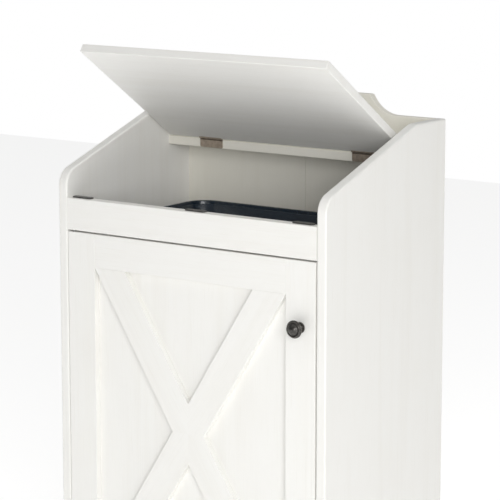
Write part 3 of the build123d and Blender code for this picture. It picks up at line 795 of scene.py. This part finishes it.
# bin
bucket = {
    "taperSide": 24.0,
    "taperFront": 22.0,
    "wall": 2.4,
    "floorThick": 3.0,
    "cornerTop": 29.0,       # of the body at the rim
    "cornerFoot": 26.0,
    "lip": 5.0,              # rim stands out from the body
    "rimDepth": 12.0,
    "rimRound": 1.7,
    "seatDrop": 5.5,         # step inside the rim
    "seatStep": 1.3,
    "footRound": 4.0,
    "floorRound": 6.0,       # inside, between floor and wall
    "cornerSteps": 10,
    "wallSteps": 8,
}


def rimLoop(halfX, halfY, corner, steps):
    # rounded rectangle, the same count of points at every level
    points = []
    for signX, signY, start in ((1, 1, 0), (-1, 1, 90), (-1, -1, 180), (1, -1, 270)):
        middle = (signX * (halfX - corner), signY * (halfY - corner))
        points += arc(middle, corner, start, start + 90, steps)
    return points


def makeBin():
    size = bucket
    low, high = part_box("bin")
    middle = (low + high) / 2
    rimX, rimY = (high.x - low.x) / 2 / mm, (high.y - low.y) / 2 / mm
    tall = (high.z - low.z) / mm
    wall, lip = size["wall"], size["lip"]

    def level(grow, height):
        # loop that stands grow outside the body's outer face at this height
        share = height / tall
        halfX = rimX - size["taperSide"] + (size["taperSide"] - lip) * share + grow
        halfY = rimY - size["taperFront"] + (size["taperFront"] - lip) * share + grow
        corner = size["cornerFoot"] + (size["cornerTop"] - size["cornerFoot"]) * share + grow
        return rimLoop(halfX, halfY, corner, size["cornerSteps"]), height

    rise, foot, bend, runs = (
        size[key] for key in ("rimRound", "footRound", "floorRound", "wallSteps")
    )
    levels = []
    # up the inside, from the floor
    bendTop = size["floorThick"] + bend
    for x, y in arc((0, 0), bend, 180, 90, 5)[::-1]:
        levels.append(level(-wall - bend - x, bendTop - y))
    seat = tall - size["seatDrop"]
    for i in range(1, runs + 1):
        levels.append(level(-wall, bendTop + (seat - bendTop) * i / runs))
    inner = -wall + size["seatStep"] + 0.1
    levels += [level(-wall + 0.25, seat + 0.35), level(inner - 0.1, seat + 0.55)]
    levels.append(level(inner, seat + 0.9))
    # over the rolled rim and down to its lip
    for x, y in arc((0, 0), rise, 180, 90, 5):
        levels.append(level(inner + rise + x, tall - rise + y))
    for x, y in arc((0, 0), rise, 90, 0, 5):
        levels.append(level(lip - rise + x, tall - rise + y))
    lipEdge = tall - size["rimDepth"]
    levels += [level(lip, lipEdge + 0.6), level(lip - 0.5, lipEdge)]
    # up behind the lip, then down the outside to the foot
    levels += [level(lip - wall + 0.4, lipEdge), level(lip - wall, lipEdge + 0.6)]
    levels += [level(lip - wall, tall - wall - 1.0), level(0.6, tall - wall)]
    wallTop = tall - wall - 0.8
    levels.append(level(0.0, wallTop))
    for i in range(1, runs + 1):
        levels.append(level(0.0, wallTop + (foot - wallTop) * i / runs))
    for x, y in arc((0, 0), foot, 0, -90, 5)[1:]:
        levels.append(level(-foot + x, foot + y))
    form = bmesh.new()
    rings = [
        [form.verts.new((middle.x + x * mm, middle.y + y * mm, low.z + z * mm)) for x, y in loop]
        for loop, z in levels
    ]
    for near, far in zip(rings, rings[1:]):
        for i in range(len(near)):
            j = (i + 1) % len(near)
            form.faces.new((near[i], near[j], far[j], far[i]))
    form.faces.new(rings[0])
    form.faces.new(list(reversed(rings[-1])))
    keepPiece("binShell", toMesh(form, "binShell"), navyFinish, "bin", ["bin"])


makeBin()
print("bin made")

# floor, lights, camera
studio = {
    "horizon": 0.06,         # glow of the surroundings at eye level
    "overhead": 0.64,
    "top": 8.5,              # softboxes, in watts
    "right": 40.0,
    "front": 7.0,
    "floorTone": (0.96, 0.96, 0.955),
    "floorGlow": 0.47,
    "floorHalf": 4.0,        # metres
}


def studioFloor():
    paint = Paint(
        "studioFloor", Specular_IOR_Level=0.1, Roughness=0.8,
        Emission_Color=(1, 1, 1, 1), Emission_Strength=studio["floorGlow"],
    )
    spot = paint.place()
    cloud = paint.noise(spot, scale=1.5, detail=2)
    tone = studio["floorTone"]
    paint.feed(Base_Color=paint.mix(cloud * 0.5, tone, [part * 0.985 for part in tone]))
    form = bmesh.new()
    half = studio["floorHalf"]
    addSlab(form, [(-half, -half), (half, -half), (half, half), (-half, half)], -0.02, 0.0)
    mesh = toMesh(form, "studioFloor")
    mesh.materials.append(paint.material)
    stage = bpy.data.objects.new("studioFloor", mesh)
    bpy.context.scene.collection.objects.link(stage)


def studioGlow():
    world = bpy.data.worlds.new("studioGlow")
    bpy.context.scene.world = world
    world.use_nodes = True
    tree = world.node_tree
    tree.nodes.clear()
    output = tree.nodes.new("ShaderNodeOutputWorld")
    seen = tree.nodes.new("ShaderNodeBackground")     # plain white behind everything
    glow = tree.nodes.new("ShaderNodeBackground")     # what lights the scene
    choose = tree.nodes.new("ShaderNodeMixShader")
    rays = tree.nodes.new("ShaderNodeLightPath")
    spot = tree.nodes.new("ShaderNodeTexCoord")
    split = tree.nodes.new("ShaderNodeSeparateXYZ")
    rise = tree.nodes.new("ShaderNodeMapRange")
    seen.inputs["Color"].default_value = (1, 1, 1, 1)
    glow.inputs["Color"].default_value = (1, 1, 1, 1)
    rise.inputs["To Min"].default_value = studio["horizon"]
    rise.inputs["To Max"].default_value = studio["overhead"]
    tree.links.new(spot.outputs["Generated"], split.inputs[0])
    tree.links.new(split.outputs["Z"], rise.inputs["Value"])
    tree.links.new(rise.outputs[0], glow.inputs["Strength"])
    tree.links.new(rays.outputs["Is Camera Ray"], choose.inputs[0])
    tree.links.new(glow.outputs[0], choose.inputs[1])
    tree.links.new(seen.outputs[0], choose.inputs[2])
    tree.links.new(choose.outputs[0], output.inputs["Surface"])


def softbox(name, spot, target, size, power):
    lamp = bpy.data.lights.new(name, "AREA")
    lamp.shape = "SQUARE"
    lamp.size = size
    lamp.energy = power
    holder = bpy.data.objects.new(name, lamp)
    bpy.context.scene.collection.objects.link(holder)
    holder.location = spot
    holder.rotation_euler = (Vector(target) - Vector(spot)).to_track_quat("-Z", "Y").to_euler()


studioFloor()
studioGlow()
softbox("topLight", (0.0, -0.3, 3.0), (0, 0, 0), 2.6, studio["top"])
softbox("rightLight", (2.1, -2.1, 1.25), (0, 0, 0.5), 1.3, studio["right"])
softbox("frontLight", (0.9, -2.9, 0.9), (0, 0, 0.6), 1.2, studio["front"])

camera = {
    "spot": (1.8291, -2.5765, 1.1438),
    "yaw": 35.184,
    "dip": 9.491,
    "lens": 164.9,
    "shift": (-0.008, -0.07),
}
lens = bpy.data.cameras.new("camera")
lens.sensor_width = 36.0
lens.lens = camera["lens"]
lens.shift_x, lens.shift_y = camera["shift"]
viewer = bpy.data.objects.new("camera", lens)
bpy.context.scene.collection.objects.link(viewer)
viewer.location = camera["spot"]
viewer.rotation_euler = (radians(90 - camera["dip"]), 0, radians(camera["yaw"]))
bpy.context.scene.camera = viewer
bpy.context.scene.view_settings.view_transform = "Standard"
print("studio made")

bpy.context.view_layer.update()
